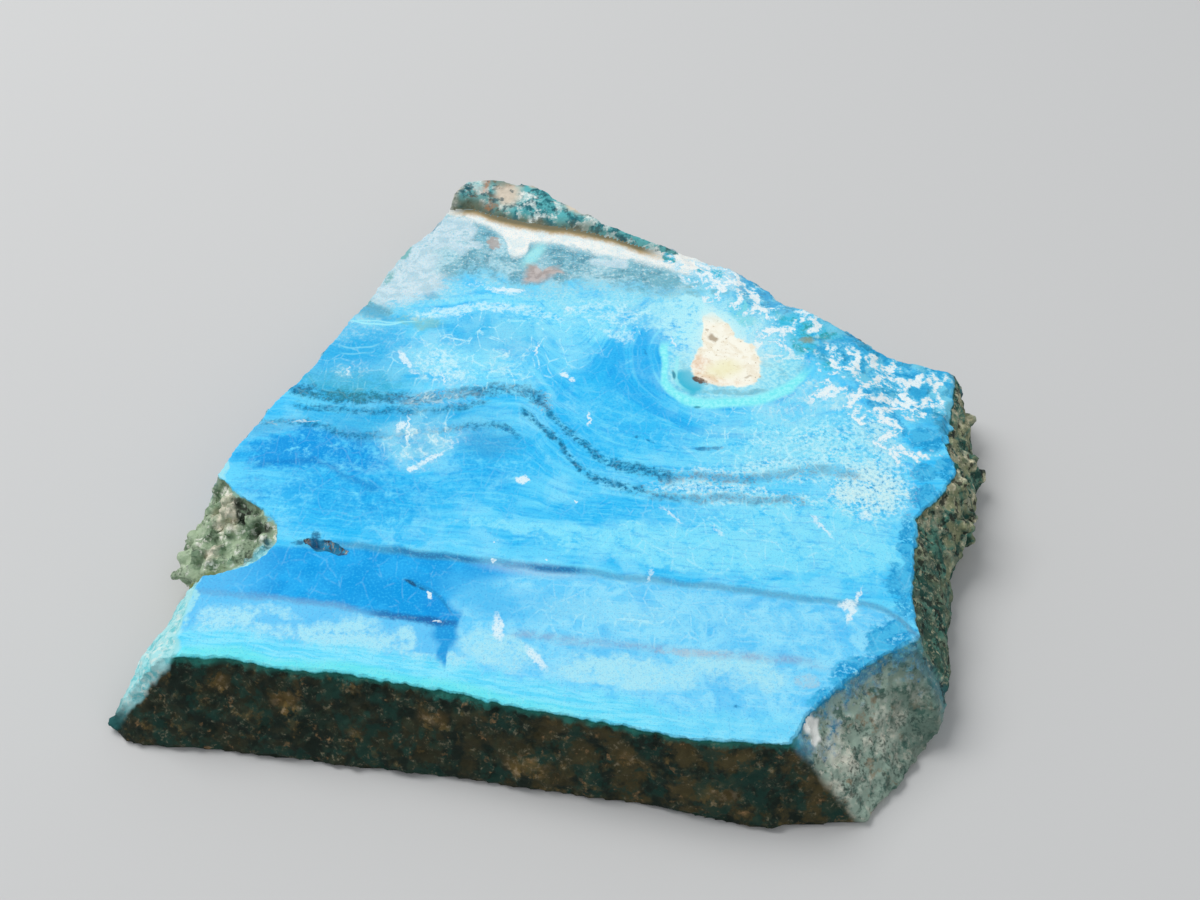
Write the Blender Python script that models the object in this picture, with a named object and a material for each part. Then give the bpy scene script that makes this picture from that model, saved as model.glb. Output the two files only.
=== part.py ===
"""Chrysocolla specimen: a sawn slab of banded blue chrysocolla with its dark host rock.

Metres, +Z up. The slab lies flat on its sawn base, with the origin at the centre of its
box on that base. It is one stone, so it is one object: the lip that the saw left, the
crystals in the notch and the crumbs and knobs of the right-hand edge are joined to it.
Outlines, heights and radii below are in millimetres.
"""

import random
from collections import namedtuple
from math import radians

import bmesh
import bpy
from mathutils import Matrix, Vector, noise

MM = 0.001

# Driving dimensions
SLAB_THICKNESS = 7.0
STATION_SPACING = 1.25
LIP_SINK = 0.9

# Heights of the rings that make the broken sides, from the sawn base to the polished face.
LEVELS = (0.0, 0.6, 1.7, 3.0, 4.3, 5.5, 6.4, SLAB_THICKNESS)
# How much of the roughness each ring takes. The two saw cuts stay clean.
ROUGH_AT_LEVEL = (0.35, 0.8, 1.0, 1.0, 1.0, 0.9, 0.55, 0.12)
# How far each ring stands out, from 0 at the polished edge to 1 at the base edge.
STRAIGHT = (0.94, 0.96, 0.79, 0.59, 0.40, 0.22, 0.09, 0.0)
BULGED = (0.84, 0.98, 1.05, 0.93, 0.70, 0.42, 0.17, 0.0)
SCOOPED = (0.95, 1.01, 1.04, 1.00, 0.66, 0.20, 0.05, 0.0)
ROUNDED = (0.96, 1.0, 0.98, 0.91, 0.77, 0.56, 0.32, 0.0)

# One side of the slab: its edge on the polished face, its edge on the base, how its
# section runs between the two, and how rough the break is.
Side = namedtuple("Side", "name top base profile roughness")

# Counter-clockwise from above, starting at the back-left corner. Each side ends where the
# next one starts.
SIDES = (
    Side(
        "left",
        [(-11.8, 30.3), (-12.3, 28.2), (-13.2, 24.9), (-15.4, 22.3), (-17.0, 18.7),
         (-18.1, 14.7), (-19.6, 11.7), (-21.2, 7.6), (-22.6, 4.3), (-24.2, 1.7),
         (-25.3, -1.3), (-26.6, -3.9), (-27.4, -6.8)],
        [(-12.4, 31.4), (-14.6, 24.9), (-18.4, 17.4), (-21.4, 10.4), (-24.6, 3.2),
         (-27.2, -3.0), (-28.5, -7.2)],
        BULGED,
        0.40,
    ),
    Side(
        "notch",
        [(-27.4, -6.8), (-26.0, -8.2), (-23.8, -10.0), (-22.1, -11.5), (-21.8, -13.6),
         (-22.9, -15.5), (-24.6, -16.4), (-26.8, -17.0)],
        [(-28.5, -7.2), (-29.2, -10.0), (-29.3, -12.6), (-28.5, -15.8)],
        SCOOPED,
        0.30,
    ),
    Side(
        "left_corner",
        [(-26.8, -17.0), (-26.9, -19.6), (-27.0, -22.0), (-27.6, -23.9)],
        [(-28.5, -15.8), (-30.0, -19.4), (-31.7, -22.7), (-32.8, -24.9)],
        ROUNDED,
        0.15,
    ),
    Side(
        "front",
        [(-27.6, -23.9), (-23.4, -24.0), (-19.9, -25.0), (-15.9, -25.2), (-11.8, -26.2),
         (-7.7, -27.0), (-3.7, -28.2), (1.5, -29.2), (6.6, -30.6), (13.6, -31.0)],
        [(-32.8, -24.9), (-31.5, -26.5), (-26.2, -26.8), (-17.7, -28.0), (-9.4, -29.0),
         (-1.2, -30.4), (5.5, -31.4), (12.1, -33.0), (19.5, -32.6)],
        STRAIGHT,
        0.24,
    ),
    Side(
        "right_corner",
        [(13.6, -31.0), (14.8, -28.9), (17.2, -26.4), (20.0, -24.2), (23.1, -22.3)],
        [(19.5, -32.6), (20.8, -31.0), (22.7, -28.4), (24.6, -26.4)],
        STRAIGHT,
        0.30,
    ),
    Side(
        "right",
        [(23.1, -22.3), (23.2, -18.2), (24.2, -13.9), (24.6, -10.9), (26.8, -8.9),
         (28.3, -6.4), (28.2, -3.4), (27.5, -0.6), (28.4, 2.2), (29.4, 5.7)],
        [(24.6, -26.4), (25.4, -22.8), (26.6, -17.8), (27.6, -13.4), (29.2, -8.6),
         (30.8, -4.9), (31.7, -0.9), (32.3, 2.6), (31.9, 6.4)],
        BULGED,
        0.55,
    ),
    Side(
        "back",
        [(29.4, 5.7), (26.6, 6.7), (23.8, 8.1), (22.1, 10.4), (19.8, 12.4), (17.3, 14.0),
         (14.6, 17.2), (12.1, 19.6), (8.7, 21.0), (6.6, 22.5), (3.4, 24.0), (0.3, 26.5),
         (-2.4, 29.0), (-4.2, 30.1), (-7.8, 31.3), (-10.6, 31.1), (-11.8, 30.3)],
        [(31.9, 6.4), (28.4, 8.3), (24.9, 11.6), (20.4, 14.4), (15.8, 19.1), (9.4, 22.9),
         (4.2, 25.7), (-1.6, 30.4), (-7.6, 33.1), (-12.4, 31.4)],
        BULGED,
        0.45,
    ),
)

# The lip along the back-left edge: where it meets the polished face, and its crest with
# the crest's height above that face.
LIP_FOOT = [(-12.3, 27.6), (-10.4, 27.9), (-8.6, 26.9), (-5.8, 25.8), (-3.0, 25.0),
            (-0.3, 24.5), (2.8, 23.2), (5.9, 21.5), (8.0, 20.9)]
LIP_CREST = [(-12.2, 28.1, 0.4), (-11.8, 29.4, 1.1), (-10.6, 30.6, 1.3), (-7.8, 30.7, 1.15),
             (-4.1, 29.6, 1.1), (-1.7, 27.5, 1.0), (1.5, 24.9, 0.8), (5.1, 22.8, 0.55),
             (8.6, 20.9, 0.2)]
LIP_STATIONS = 26

# Shallow chips off the polished face: centre, depth and width where they cut it.
Chip = namedtuple("Chip", "x y depth width")
CHIPS = (
    Chip(28.4, 4.2, 0.95, 12.5),
    Chip(22.6, 11.6, 0.60, 6.5),
    Chip(17.0, 16.6, 0.65, 7.5),
    Chip(11.6, 21.2, 0.50, 6.0),
    Chip(-28.2, -23.4, 0.35, 3.2),
)

# A small open pit on the line of the dark band, with its long axis turned to follow it.
PIT = {"at": (-18.2, -14.1), "radii": (1.9, 0.5, 0.7), "turn_deg": -20.0}

# Rounded blue knobs along the right-hand edge: x, y, z and radius.
KNOBS = ((27.7, -2.6, 6.0, 1.1), (27.9, -5.5, 5.9, 1.3), (25.9, -8.1, 5.9, 1.3),
         (24.6, -10.7, 5.9, 1.1), (23.6, -13.3, 5.9, 1.0))

# Crystals in the notch and crumbs on the upper right-hand edge: how many there are, the
# share of the side they cover, the levels they sit between, and their radii.
Grains = namedtuple("Grains", "side count span levels radii")
GRAINS = (
    Grains("notch", 80, (0.05, 0.70), (1, 5), (0.45, 0.85)),
    Grains("right", 30, (0.45, 0.95), (2, 5), (0.40, 0.75)),
)


def length_along(points):
    """Distances from the first point to each point, along the line."""
    total = [0.0]
    for a, b in zip(points, points[1:]):
        total.append(total[-1] + (Vector(b) - Vector(a)).length)
    return total


def spaced(points, count, closed_end=False):
    """The line through the points as `count` evenly spaced ones, without its end unless asked."""
    along = length_along(points)
    steps = count - 1 if closed_end else count
    found = []
    for i in range(count):
        target = along[-1] * i / steps
        k = next((k for k in range(1, len(along) - 1) if along[k] >= target), len(along) - 1)
        share = (target - along[k - 1]) / (along[k] - along[k - 1])
        found.append(Vector(points[k - 1]).lerp(Vector(points[k]), min(share, 1.0)))
    return found


def smoothed(values, passes=2):
    """Ring values with each blended into its neighbours, so that one side runs into the next."""
    for _ in range(passes):
        values = [
            tuple((a + 2 * b + c) / 4 for a, b, c in zip(values[i - 1], v, values[(i + 1) % len(values)]))
            for i, v in enumerate(values)
        ]
    return values


def crag(point, coarse=3.4, fine=1.4):
    """Two sizes of broken-rock relief, about -1 to 1."""
    return 0.75 * noise.noise(point / coarse) + 0.45 * noise.noise(point / fine + Vector((7, 3, 5)))


def stations():
    """(top, base, profile, roughness, side name) all the way round the slab."""
    found = []
    for side in SIDES:
        count = max(3, round(length_along(side.top)[-1] / STATION_SPACING))
        pairs = zip(spaced(side.top, count), spaced(side.base, count))
        found += [(top, base, side.profile, side.roughness, side.name) for top, base in pairs]
    return found


def slab_rings(around):
    """One ring of points for each level, broken outwards and inwards by the relief."""
    flares = smoothed([s[2] for s in around])
    rings = []
    for level, (height, share) in enumerate(zip(LEVELS, ROUGH_AT_LEVEL)):
        flat = [s[0].lerp(s[1], flares[i][level]) for i, s in enumerate(around)]
        ring = []
        for i, at in enumerate(flat):
            along = flat[(i + 1) % len(flat)] - flat[i - 1]
            outward = Vector((along.y, -along.x, 0)).normalized()
            place = Vector((at.x, at.y, height))
            ring.append(place + outward * crag(place) * around[i][3] * share * 2)
        rings.append(ring)
    return rings


def mesh_object(name, build_into, material=None, helper=False):
    """A new object whose mesh is filled by build_into(bm) in millimetres, then scaled to metres."""
    bm = bmesh.new()
    build_into(bm)
    bmesh.ops.recalc_face_normals(bm, faces=bm.faces)
    bmesh.ops.scale(bm, vec=(MM, MM, MM), verts=bm.verts)
    mesh = bpy.data.meshes.new(name)
    bm.to_mesh(mesh)
    bm.free()
    made = bpy.data.objects.new(name, mesh)
    bpy.context.scene.collection.objects.link(made)
    if material:
        mesh.materials.append(material)
    if helper:
        made.hide_render = True
        made.display_type = "WIRE"
    return made


def loft(bm, sections):
    """Closed rings of equal length joined into one skin, with a cap at both ends."""
    rings = [[bm.verts.new(p) for p in section] for section in sections]
    for low, high in zip(rings, rings[1:]):
        for i in range(len(low)):
            j = (i + 1) % len(low)
            bm.faces.new((low[i], low[j], high[j], high[i]))
    bm.faces.new(rings[0][::-1])
    bm.faces.new(rings[-1])


def fill_lip(bm):
    """The ridge of broken rock between the lip's foot and its crest."""
    feet = spaced(LIP_FOOT, LIP_STATIONS, closed_end=True)
    crests = spaced(LIP_CREST, LIP_STATIONS, closed_end=True)
    sections = []
    for foot, crest in zip(feet, crests):
        edge = Vector((crest.x, crest.y))
        height = crest.z * (1 + 0.3 * noise.noise(Vector((crest.x, crest.y, 2)) / 1.7))
        rows = (
            (foot, -LIP_SINK),
            (foot, 0.0),
            (foot.lerp(edge, 0.35), 0.55 * height),
            (foot.lerp(edge, 0.72), 0.95 * height),
            (edge, height),
            (edge.lerp(foot, -0.04), -0.1),
            (edge, -LIP_SINK),
        )
        section = []
        for flat, rise in rows:
            place = Vector((flat.x, flat.y, SLAB_THICKNESS + rise))
            if rise > 0.05:
                place.z += 0.18 * crag(place, 1.6, 0.8)
            section.append(place)
        sections.append(section)
    loft(bm, sections)


def fill_chip(chip):
    """A lumpy ball wide enough to scallop the polished face to the chip's depth."""
    radius = (chip.width**2 / 4 + chip.depth**2) / (2 * chip.depth)
    centre = Vector((chip.x, chip.y, SLAB_THICKNESS + radius - chip.depth))

    def build_into(bm):
        bmesh.ops.create_icosphere(bm, subdivisions=5, radius=radius)
        for vert in bm.verts:
            bump = 0.30 * chip.depth * crag(vert.co + centre, 2.2, 1.0)
            vert.co = vert.co * (1 + bump / radius) + centre

    return build_into


def fill_pit(bm):
    """The open pit's lumpy cutter."""
    bmesh.ops.create_icosphere(bm, subdivisions=3, radius=1.0)
    turn = Matrix.Rotation(radians(PIT["turn_deg"]), 4, "Z")
    centre = Vector((*PIT["at"], SLAB_THICKNESS))
    for vert in bm.verts:
        shaped = Vector(a * b for a, b in zip(vert.co, PIT["radii"]))
        vert.co = turn @ (shaped * (1 + 0.5 * noise.noise(vert.co * 2.1))) + centre


def fill_knobs(bm):
    """The rounded knobs of the right-hand edge, a little flattened."""
    for x, y, z, radius in KNOBS:
        place = Matrix.Translation((x, y, z)) @ Matrix.Diagonal((1.1, 1.2, 0.8, 1))
        bmesh.ops.create_icosphere(bm, subdivisions=2, radius=radius, matrix=place)


def fill_grains(around, rings):
    """Blunt crystals, each a jittered icosahedron set half into the rock."""
    rng = random.Random(11)

    def build_into(bm):
        for grains in GRAINS:
            spots = [i for i, s in enumerate(around) if s[4] == grains.side]
            low, high = (round(share * (len(spots) - 1)) for share in grains.span)
            for _ in range(grains.count):
                spot = rng.choice(spots[low:high])
                level = rng.randint(*grains.levels)
                radius = rng.uniform(*grains.radii)
                at = rings[level][spot].lerp(rings[level + 1][spot + 1], rng.random())
                centre = at + Vector((rng.uniform(-0.3, 0.3) for _ in range(3))) * radius
                centre.z = min(max(centre.z, radius + 0.3), SLAB_THICKNESS - radius - 0.2)
                turn = Matrix.Rotation(rng.uniform(0, 3), 4, Vector((rng.random(), 1, rng.random())))
                made = bmesh.ops.create_icosphere(
                    bm, subdivisions=1, radius=radius, matrix=Matrix.Translation(centre) @ turn
                )
                for vert in made["verts"]:
                    vert.co = centre + (vert.co - centre) * rng.uniform(0.75, 1.15)

    return build_into


def add_boolean(target, helper, operation):
    """Joins or cuts a helper, without leaving the helper in the render."""
    step = target.modifiers.new(helper.name, "BOOLEAN")
    step.operation = operation
    step.object = helper
    step.solver = "EXACT"
    step.use_self = operation == "UNION"


def stone_material():
    """Blue chrysocolla with a waxy polish."""
    made = bpy.data.materials.new("chrysocolla")
    made.use_nodes = True
    shader = made.node_tree.nodes["Principled BSDF"]
    shader.inputs["Base Color"].default_value = (0.05, 0.42, 0.72, 1)
    shader.inputs["Roughness"].default_value = 0.35
    shader.inputs["Metallic"].default_value = 0.0
    return made


def main():
    for old in list(bpy.data.objects):
        bpy.data.objects.remove(old)
    around = stations()
    rings = slab_rings(around)
    slab = mesh_object("chrysocolla_slab", lambda bm: loft(bm, rings), stone_material())
    joined = (("lip", fill_lip), ("knobs", fill_knobs), ("grains", fill_grains(around, rings)))
    for name, build_into in joined:
        add_boolean(slab, mesh_object(name, build_into, helper=True), "UNION")
    for i, chip in enumerate(CHIPS):
        cutter = mesh_object(f"chip_{i}", fill_chip(chip), helper=True)
        add_boolean(slab, cutter, "DIFFERENCE")
    add_boolean(slab, mesh_object("pit", fill_pit, helper=True), "DIFFERENCE")


main()
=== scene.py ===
"""A sawn and polished slab of banded chrysocolla, lying on its sawn base."""

import math

import bpy
import numpy as np
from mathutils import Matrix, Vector


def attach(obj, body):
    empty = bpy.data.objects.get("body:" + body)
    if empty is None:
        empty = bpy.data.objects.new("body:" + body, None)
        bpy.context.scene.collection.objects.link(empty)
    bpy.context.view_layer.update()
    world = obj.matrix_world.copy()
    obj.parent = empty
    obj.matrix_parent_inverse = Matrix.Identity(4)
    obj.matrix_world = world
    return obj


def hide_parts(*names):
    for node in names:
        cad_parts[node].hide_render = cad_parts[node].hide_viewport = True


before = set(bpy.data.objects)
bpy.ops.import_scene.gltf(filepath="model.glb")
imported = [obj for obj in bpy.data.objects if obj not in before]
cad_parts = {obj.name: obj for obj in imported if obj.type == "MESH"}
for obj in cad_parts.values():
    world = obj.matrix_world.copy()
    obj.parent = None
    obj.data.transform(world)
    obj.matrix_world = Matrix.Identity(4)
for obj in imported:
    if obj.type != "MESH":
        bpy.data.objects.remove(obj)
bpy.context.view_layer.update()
MM = 0.001

# ---- The stone: its shape ----
# One slab, sawn on both faces and polished on the upper one. The sides are the broken
# outside of the vein, with its granular host rock, so they are rough and the faces flat.

FACE_HEIGHT = 7.0
LIP_FOOT = [(-12.4, 27.6), (-10.4, 27.9), (-8.6, 26.9), (-5.8, 25.8), (-3.0, 25.0),
            (-0.3, 24.5), (2.8, 23.2), (5.9, 21.5), (9.0, 20.6)]
LIP_END = LIP_FOOT[-1][0]
# Where the face is chipped: the middle of each chip, and its radius.
CHIPS = [(28.4, 4.2, 6.6), (22.6, 11.6, 3.6), (17.0, 16.6, 4.2), (11.6, 21.2, 3.4)]


def smooth_step(low, high, value):
    share = np.clip((value - low) / (high - low), 0, 1)
    return share * share * (3 - 2 * share)


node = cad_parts["chrysocolla_slab"]
bpy.ops.object.select_all(action="DESELECT")
stone = node.copy()
stone.data = node.data.copy()
stone.name = "stone"
stone.parent = None
bpy.context.scene.collection.objects.link(stone)
bpy.context.view_layer.objects.active = stone
stone.select_set(True)
bpy.ops.object.mode_set(mode="EDIT")
bpy.ops.mesh.select_all(action="SELECT")
bpy.ops.mesh.remove_doubles(threshold=0.001 * MM)
bpy.ops.object.mode_set(mode="OBJECT")

GRAIN_OF_MESH = 0.17
remesh = stone.modifiers.new("fine skin", "REMESH")
remesh.mode = "VOXEL"
remesh.voxel_size = GRAIN_OF_MESH * MM
bpy.ops.object.modifier_apply(modifier=remesh.name)

# The face is brought back to one plane, and the shares of roughness are kept as vertex groups:
# "rough" is 1 on the broken sides and the lip, "notch" 1 on the crystal-lined notch, and
# "upper" 1 near the face, where only sideways moves are wanted.
SHARE_STEPS = 20
count = len(stone.data.vertices)
places = np.empty(count * 3)
stone.data.vertices.foreach_get("co", places)
normals = np.empty(count * 3)
stone.data.vertices.foreach_get("normal", normals)
places, normals = places.reshape(-1, 3) / MM, normals.reshape(-1, 3)
x, y, z = places.T
behind_lip = (x < LIP_END) & (y > np.interp(x, *zip(*LIP_FOOT)))
chipped = np.any([(x - cx) ** 2 + (y - cy) ** 2 < r * r for cx, cy, r in CHIPS], axis=0)
on_face = (abs(z - FACE_HEIGHT) < 0.1) & ~behind_lip & ~chipped & (normals[:, 2] > 0.9)
z[on_face] = FACE_HEIGHT
stone.data.vertices.foreach_set("co", (places * MM).ravel())
rough = smooth_step(0.02, 0.5, z) * smooth_step(FACE_HEIGHT - 0.04, FACE_HEIGHT - 0.55, z)
on_lip = behind_lip & (z > FACE_HEIGHT + 0.06)
rough = np.where(on_lip, 0.5 * smooth_step(FACE_HEIGHT, FACE_HEIGHT + 0.4, z), rough)
rough = np.where(chipped & (z > 5.6), 0.35 * rough, rough)
notch = smooth_step(6.2, 4.6, np.hypot(x + 26.2, y + 12.1)) * rough
upper = smooth_step(5.6, 6.6, z) * ~on_lip
for name, shares in (("rough", rough), ("notch", notch), ("upper", upper)):
    group = stone.vertex_groups.new(name=name)
    for step in range(1, SHARE_STEPS + 1):
        chosen = np.flatnonzero(np.round(shares * SHARE_STEPS) == step)
        group.add(chosen.tolist(), step / SHARE_STEPS, "REPLACE")


def roughen(piece, name, kind, size, height, group, direction="NORMAL", **settings):
    """Presses a relief into one group of the stone's points. Millimetres."""
    texture = bpy.data.textures.new(name, kind)
    texture.noise_scale = size * MM
    for key, value in settings.items():
        setattr(texture, key, value)
    step = piece.modifiers.new(name, "DISPLACE")
    step.texture = texture
    step.texture_coords = "LOCAL"
    step.direction = direction
    step.vertex_group = group
    step.mid_level = 0.5
    step.strength = height * MM
    bpy.ops.object.modifier_apply(modifier=step.name)


roughen(stone, "chipped rim", "CLOUDS", 0.9, 0.42, "upper", noise_depth=2, direction="X")
roughen(stone, "nicked rim", "CLOUDS", 0.6, 0.42, "upper", noise_depth=2, direction="Y")
roughen(stone, "lumps", "CLOUDS", 2.2, 0.55, "rough", noise_depth=2)
roughen(stone, "crumbs", "VORONOI", 0.9, 0.34, "rough", distance_metric="DISTANCE")
roughen(stone, "grit", "CLOUDS", 0.45, 0.30, "rough", noise_depth=3)
roughen(stone, "sugar", "VORONOI", 1.3, -0.9, "notch", distance_metric="DISTANCE")

MOST_TRIANGLES = 185000
triangles = sum(len(face.vertices) - 2 for face in stone.data.polygons)
thin = stone.modifiers.new("thin", "DECIMATE")
thin.ratio = min(1.0, MOST_TRIANGLES / triangles)
bpy.ops.object.modifier_apply(modifier=thin.name)
bpy.ops.object.shade_smooth_by_angle(angle=math.radians(38))

# The rim of each sawn face stays a crisp edge.
mesh = stone.data
heights = np.empty(len(mesh.vertices) * 3)
mesh.vertices.foreach_get("co", heights)
heights = heights[2::3] / MM
corners = np.empty(len(mesh.loops), dtype=np.int32)
mesh.loops.foreach_get("vertex_index", corners)
sides_of = np.empty(len(mesh.loops), dtype=np.int32)
mesh.loops.foreach_get("edge_index", sides_of)
starts = np.empty(len(mesh.polygons), dtype=np.int32)
mesh.polygons.foreach_get("loop_start", starts)
sharp = np.empty(len(mesh.edges), dtype=bool)
mesh.edges.foreach_get("use_edge_sharp", sharp)
for sawn in (0.0, FACE_HEIGHT):
    level_corner = abs(heights[corners] - sawn) < 0.002
    level_face = np.logical_and.reduceat(level_corner, starts)
    owner = np.repeat(level_face, np.diff(np.append(starts, len(corners))))
    touching = np.bincount(sides_of, weights=owner, minlength=len(sharp))
    sharp |= touching == 1
mesh.edges.foreach_set("use_edge_sharp", sharp)

# ---- The stone: its finish ----
# The blue is chrysocolla in quartz, laid down in bands that fold round a cream clay inclusion
# and fade to white at the back, where painted sheen of reflected light adds to the white below
# the lip. Thin white quartz veins cross it, and the rock outside it is dark green and brown,
# with painted shade deepening its front face. The pattern is laid out in millimetres on the face
# and runs on down.


def begin(name):
    """Starts a new material, and returns it with its shader."""
    global tree
    made = bpy.data.materials.new(name)
    made.use_nodes = True
    tree = made.node_tree
    return made, tree.nodes["Principled BSDF"]


def put(kind, inputs, **settings):
    """A new node, with each input set to a value or joined to another node's output."""
    made = tree.nodes.new("ShaderNode" + kind)
    for key, value in settings.items():
        setattr(made, key, value)
    for key, value in inputs.items():
        if isinstance(value, bpy.types.NodeSocket):
            tree.links.new(value, made.inputs[key])
        else:
            made.inputs[key].default_value = value
    return made


def calc(operation, a, b=0.0, c=0.0):
    return put("Math", {0: a, 1: b, 2: c}, operation=operation).outputs[0]


def plus(base, value, amount):
    """base, with so much of value added to it."""
    return calc("MULTIPLY_ADD", value, amount, base)


def less(value, other):
    return calc("SUBTRACT", value, other)


def times(*shares):
    total = shares[0]
    for share in shares[1:]:
        total = calc("MULTIPLY", total, share)
    return total


def either(*shares):
    total = shares[0]
    for share in shares[1:]:
        total = calc("MAXIMUM", total, share)
    return total


def ease(value, start, end, to_start=0.0, to_end=1.0):
    """0 at start and 1 at end, or the two given values, with a soft S between them."""
    inputs = {0: value, 1: start, 2: end, 3: to_start, 4: to_end}
    return put("MapRange", inputs, interpolation_type="SMOOTHSTEP", clamp=False).outputs[0]


def tint(code):
    """A colour from its six-figure screen code."""
    parts = [int(code[i:i + 2], 16) / 255 for i in (0, 2, 4)]
    return tuple(p / 12.92 if p <= 0.04045 else ((p + 0.055) / 1.055) ** 2.4 for p in parts) + (1.0,)


def layer(below, colour, share):
    """The colour below, covered by another one where share is 1."""
    colour = tint(colour) if isinstance(colour, str) else colour
    below = tint(below) if isinstance(below, str) else below
    return put("Mix", {0: share, 6: below, 7: colour}, data_type="RGBA").outputs[2]


def layers(below, *coats):
    """The colour below, under several coats, each given as its colour and its share."""
    for colour, share in coats:
        below = layer(below, colour, share)
    return below


def aim(node, x, y, z=0.0, stretch=(1, 1, 1), turn=0.0, kind="POINT"):
    """Shifts, stretches and turns a texture."""
    node.texture_mapping.vector_type = kind
    node.texture_mapping.translation = (x, y, z)
    node.texture_mapping.scale = stretch
    node.texture_mapping.rotation = (0, 0, math.radians(turn))
    return node


def clouds(at, size, detail=3.0, roughness=0.55, shift=(0, 0, 0), dimensions="2D"):
    """Cloud noise, 0 to 1 about 0.5, with features of about the given size."""
    inputs = {"Vector": at, "Scale": 1 / size, "Detail": detail, "Roughness": roughness}
    return aim(put("TexNoise", inputs, noise_dimensions=dimensions), *shift).outputs[0]


def graph(value, points):
    """A smooth curve through the points, level past its ends."""
    made = put("FloatCurve", {1: value})
    made.mapping.use_clip = False
    made.mapping.extend = "HORIZONTAL"
    curve = made.mapping.curves[0]
    points = sorted(points)
    curve.points[0].location, curve.points[1].location = points[0], points[-1]
    for place in points[1:-1]:
        curve.points.new(*place)
    for point in curve.points:
        point.handle_type = "AUTO_CLAMPED"
    made.mapping.update()
    return made.outputs[0]


def stripe(along, across, points, width, soft=0.12, ends=1.0):
    """A line through the points: 1 on it, fading over soft at its sides and over ends at its ends."""
    off = calc("ABSOLUTE", less(across, graph(along, points)))
    body = ease(off, width / 2 + soft, max(width / 2 - soft, 0.0))
    start = ease(along, points[0][0], points[0][0] + ends)
    return times(body, start, ease(along, points[-1][0], points[-1][0] - ends))


def patch(at, x, y, across, along, strength=1.0, turn=0.0, soft=0.6):
    """An oval patch: its middle, its two half-widths, its strength, and its turn in degrees."""
    reach = 1 + soft / 2
    dome = put("TexGradient", {0: at}, gradient_type="SPHERICAL")
    aim(dome, x, y, 0, (across * reach, along * reach, 1), turn, "TEXTURE")
    return ease(dome.outputs[1], 0.0, soft / reach, 0.0, strength)


def patches(at, *ovals, soft=0.6):
    """Several oval patches, each given as for patch."""
    return either(*(patch(at, *oval, soft=soft) for oval in ovals))


def polar(at, x, y):
    """Distance from a point, and the angle round it from 0 to 1."""
    right, back = less(at[0], x), less(at[1], y)
    reach = calc("SQRT", plus(times(back, back), right, right))
    return reach, plus(0.5, calc("ARCTAN2", back, right), 0.5 / math.pi)


def outline_radii(x, y, corners):
    """(angle from 0 to 1, radius) about a point, for a closed outline with straight sides."""
    found = []
    for (ax, ay), (bx, by) in zip(corners, corners[1:] + corners[:1]):
        for k in range(3):
            px, py = ax + (bx - ax) * k / 3 - x, ay + (by - ay) * k / 3 - y
            found.append((math.atan2(py, px) / 2 / math.pi + 0.5, math.hypot(px, py)))
    found.sort()
    return [(found[-1][0] - 1, found[-1][1])] + found + [(found[0][0] + 1, found[0][1])]


def shape(at, corners, soft=0.3):
    """A patch with a corner at each point, seen from its own middle."""
    x, y = (sum(c[i] for c in corners) / len(corners) for i in (0, 1))
    reach, turn = polar(at, x, y)
    off = less(reach, graph(turn, outline_radii(x, y, corners)))
    return ease(off, soft / 2, -soft / 2)


def cracks(at, size, width, *pose):
    """A net of thin straight-sided cracks."""
    inputs = {"Vector": at, "Scale": 1 / size}
    cells = put("TexVoronoi", inputs, voronoi_dimensions="2D", feature="DISTANCE_TO_EDGE")
    return ease(aim(cells, *pose).outputs["Distance"], width / size, width / size * 0.2)


def millimetres():
    """The place on the stone in millimetres: x, y and z, all three together, and seen from above."""
    metres = put("TexCoord", {}).outputs["Object"]
    grown = put("VectorMath", {0: metres, "Scale": 1 / MM}, operation="SCALE").outputs[0]
    x, y, z = put("SeparateXYZ", {0: grown}).outputs
    whole = put("CombineXYZ", {0: x, 1: y, 2: z}).outputs[0]
    return x, y, z, whole, put("CombineXYZ", {0: x, 1: y}).outputs[0]


def bend(at, size, reach, detail=2.0):
    """The same place on the face, pushed about by a slow noise: its x, its y, and both together."""
    right = less(clouds(flat, size, detail), 0.5)
    back = less(clouds(flat, size, detail, shift=(31, 57, 0)), 0.5)
    x = plus(at[0], right, reach)
    y = plus(at[1], back, reach)
    return x, y, put("CombineXYZ", {0: x, 1: y}).outputs[0]


polished, surface = begin("banded_chrysocolla")
px, py, pz, place, flat = millimetres()
soft_x, soft_y, soft_bend = bend((px, py), 6.0, 2.6)
fx, fy, fine_bend = bend((px, py), 1.4, 1.0)
wild_x, wild_y, wild_bend = bend((soft_x, soft_y), 1.3, 1.3, 3.0)
sx, sy, slight_bend = bend((px, py), 2.5, 0.5, 1.0)

# The bands: straight and dipping to the right in front, folded under the inclusion further
# back. strata is the depth in the bands, in millimetres as counted at the left edge.
FOLD = [(-28, 1.6), (-23, 1.3), (-20, 0.3), (-15, -0.1), (-11, 0.2), (-8, 1.0), (-6, 1.0), (-4, 0.4),
        (-2.4, -2.2), (-1, -4.2), (1, -6.5), (3, -7.8), (6, -8.7), (10, -9.0), (20, -8.4), (33, -7.6)]
folding = ease(sy, -13.0, -3.0)
dip = times(sx, -0.15)
sag = plus(dip, folding, less(graph(sx, FOLD), dip))
level = less(sy, sag)
round_reach, round_turn = polar((sx, sy), 12.0, 7.0)
near_round = ease(round_reach, 15.0, 8.0)
round_level = plus(15.5, round_reach, -0.9)
strata = plus(level, near_round, less(round_level, level))
banded = put("CombineXYZ", {0: times(sx, 0.13), 1: strata}).outputs[0]

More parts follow.
